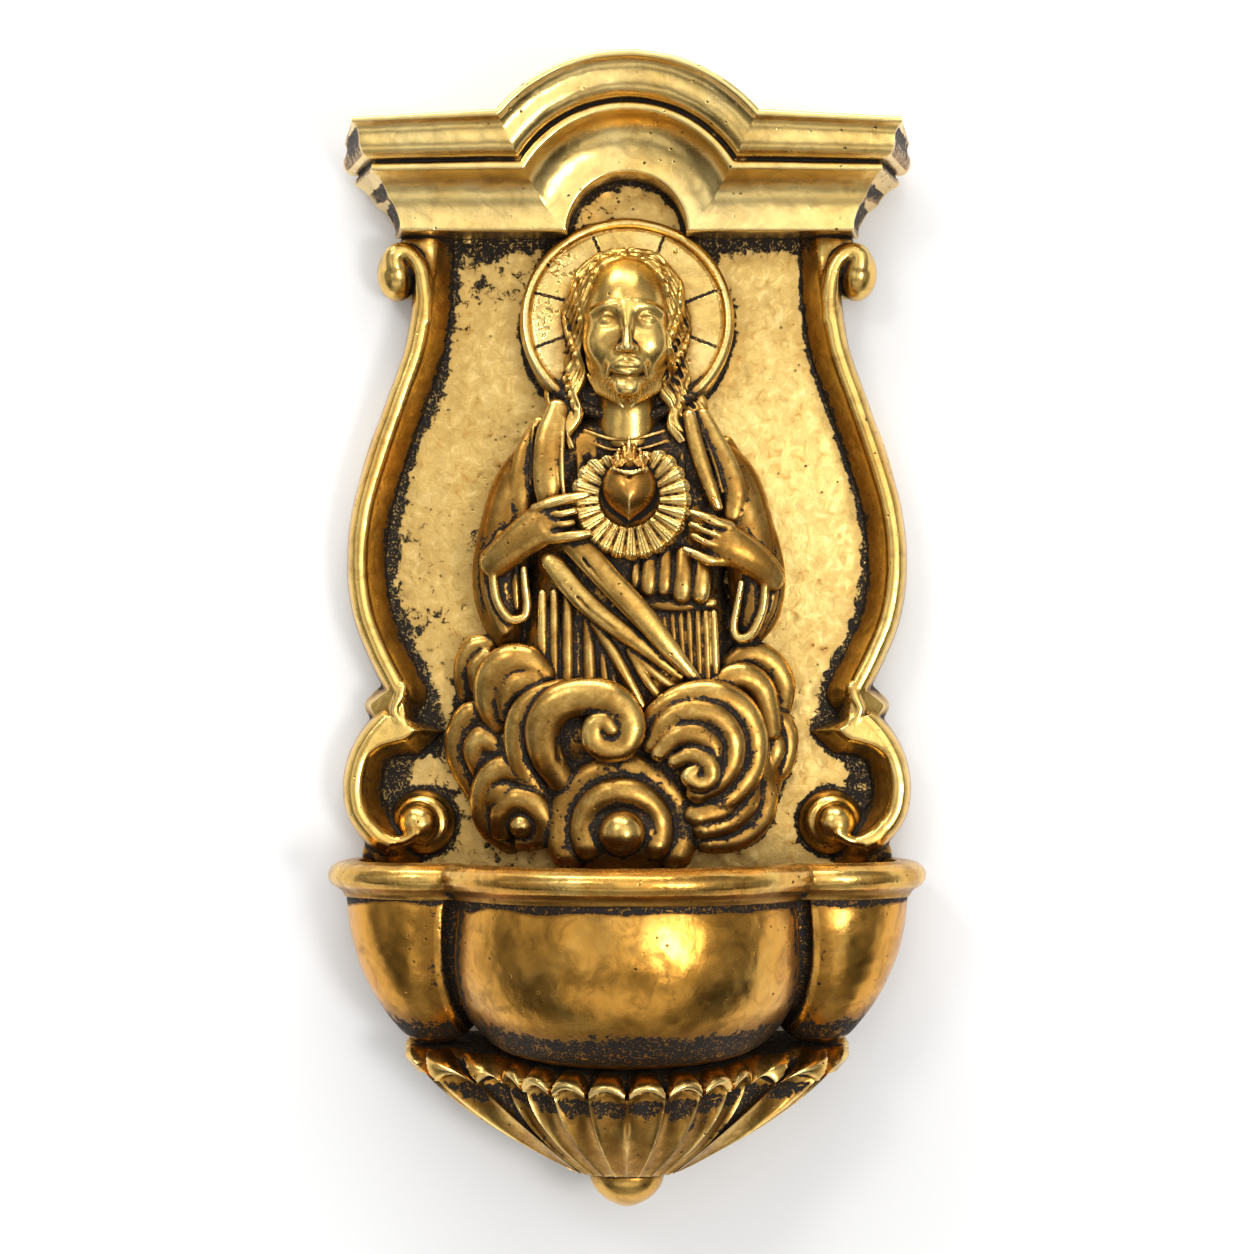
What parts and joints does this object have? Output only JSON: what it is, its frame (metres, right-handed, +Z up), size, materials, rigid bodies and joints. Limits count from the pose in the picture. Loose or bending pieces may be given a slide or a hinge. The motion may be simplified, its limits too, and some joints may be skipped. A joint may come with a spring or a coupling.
{
  "type": "holy water stoup",
  "caption": "Wall-hung brass holy water stoup: scrolled back plate under a moulded cornice, a half figure with a heart above clouds, and a three-lobed basin on a fluted cup with a finial.",
  "frame": {"origin": "on the wall plane, midway between the two hanging holes", "axes": "+X to the right as seen from the front, +Y into the wall, +Z up"},
  "size_m": [0.1456, 0.0701, 0.2778],
  "materials": {
    "cast_brass": "polished casting with dark patina left in the hollows",
    "plate_brass": "satin hammered ground, lightly toned",
    "heart_brass": "darkened polished casting",
    "screw_steel": "plain turned steel"
  },
  "bodies": {
    "root": {"back_plate": "plate_brass", "cornice": "cast_brass", "left_scroll": "cast_brass", "right_scroll": "cast_brass", "halo": "cast_brass", "figure": "cast_brass", "sacred_heart": "heart_brass", "cloud_bank": "cast_brass", "basin": "cast_brass", "rim_moulding": "cast_brass", "fluted_cup": "cast_brass", "finial": "cast_brass", "tie_stud": "screw_steel", "cornice_screws": "screw_steel", "scroll_screws": "screw_steel", "halo_screws": "screw_steel", "figure_screws": "screw_steel", "cloud_screws": "screw_steel", "basin_screws": "screw_steel"}
  },
  "joints": []
}
